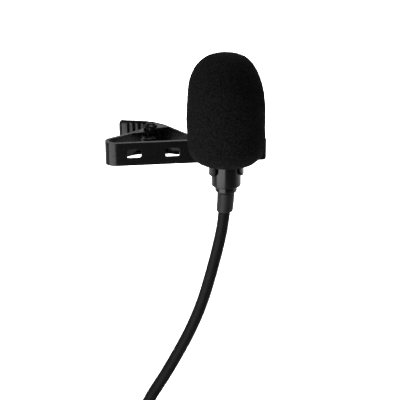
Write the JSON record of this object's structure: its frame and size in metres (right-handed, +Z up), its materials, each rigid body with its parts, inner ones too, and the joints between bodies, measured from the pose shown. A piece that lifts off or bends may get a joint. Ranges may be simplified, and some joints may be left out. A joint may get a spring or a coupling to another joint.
{
  "type": "lavalier microphone",
  "caption": "Clip-on lavalier microphone: foam windscreen over a small capsule housing, held by a sprung tie clip, with a thin cable coiled and ending in a jack plug.",
  "frame": {"origin": "grip point of the clip: back face of the front strip at mid-height, straight behind the microphone's axis", "axes": "+X along the strip out of the open end of the jaws, +Y from the front strip towards the rear lever, +Z up along the microphone"},
  "size_m": [0.0489, 0.039, 0.1876],
  "materials": {
    "clip_metal": "satin black coated spring steel",
    "rivet_metal": "black coated steel, edges slightly worn",
    "spring_steel": "blackened spring wire",
    "housing": "smooth satin black lacquer",
    "felt": "grey-black acoustic felt",
    "capsule_metal": "bright drawn aluminium",
    "rubber": "matt black rubber",
    "wire": "insulated wire",
    "crimp": "plain brass ferrule",
    "foam": "open-cell black foam",
    "cable_jacket": "smooth satin black jacket",
    "tie_fabric": "black hook-and-loop tape",
    "board": "green laminate",
    "contact_metal": "plated contact metal",
    "plug_shell": "satin black turned metal",
    "insulator": "black moulded plastic"
  },
  "bodies": {
    "clip_front": {"front_jaw": "clip_metal", "pivot_rivet": "rivet_metal", "torsion_spring": "spring_steel", "mic_holder": "clip_metal", "holder_rivets": "rivet_metal"},
    "rear_lever": {"rear_jaw": "clip_metal"},
    "microphone": {"mic_housing": "housing", "grille_cap": "housing", "grille_felt": "felt", "capsule_can": "capsule_metal", "capsule_seat": "rubber", "lead_wires": "wire", "cable_crimp": "crimp", "end_bush": "housing", "cable_boot": "rubber", "cable_lead": "cable_jacket", "cable_coil": "cable_jacket", "cable_tail": "cable_jacket", "coil_tie": "tie_fabric", "capsule_board": "board", "capsule_gate_ring": "board", "capsule_backplate": "contact_metal", "capsule_diaphragm": "contact_metal", "plug_boot": "rubber", "plug_shell": "plug_shell", "plug_body": "insulator", "plug_sleeve": "contact_metal", "plug_contact_ring": "contact_metal", "plug_insulators": "insulator", "plug_tip": "contact_metal"},
    "windscreen": {"windscreen_foam": "foam"}
  },
  "joints": [
    {"name": "jaw_open", "type": "hinge", "parent": "clip_front", "child": "rear_lever", "pos_m": [-0.0169, 0.0108, 0], "axis": [0, 0, 1], "range_deg": [0, 30], "stiffness_Nm_per_rad": 0.08, "springref_deg": -17.19},
    {"name": "mic_pull", "type": "slide", "parent": "clip_front", "child": "microphone", "axis": [0, 0, 1], "range_m": [0, 0.008]},
    {"name": "windscreen_pull", "type": "slide", "parent": "microphone", "child": "windscreen", "axis": [0, 0, 1], "range_m": [0, 0.014]}
  ]
}
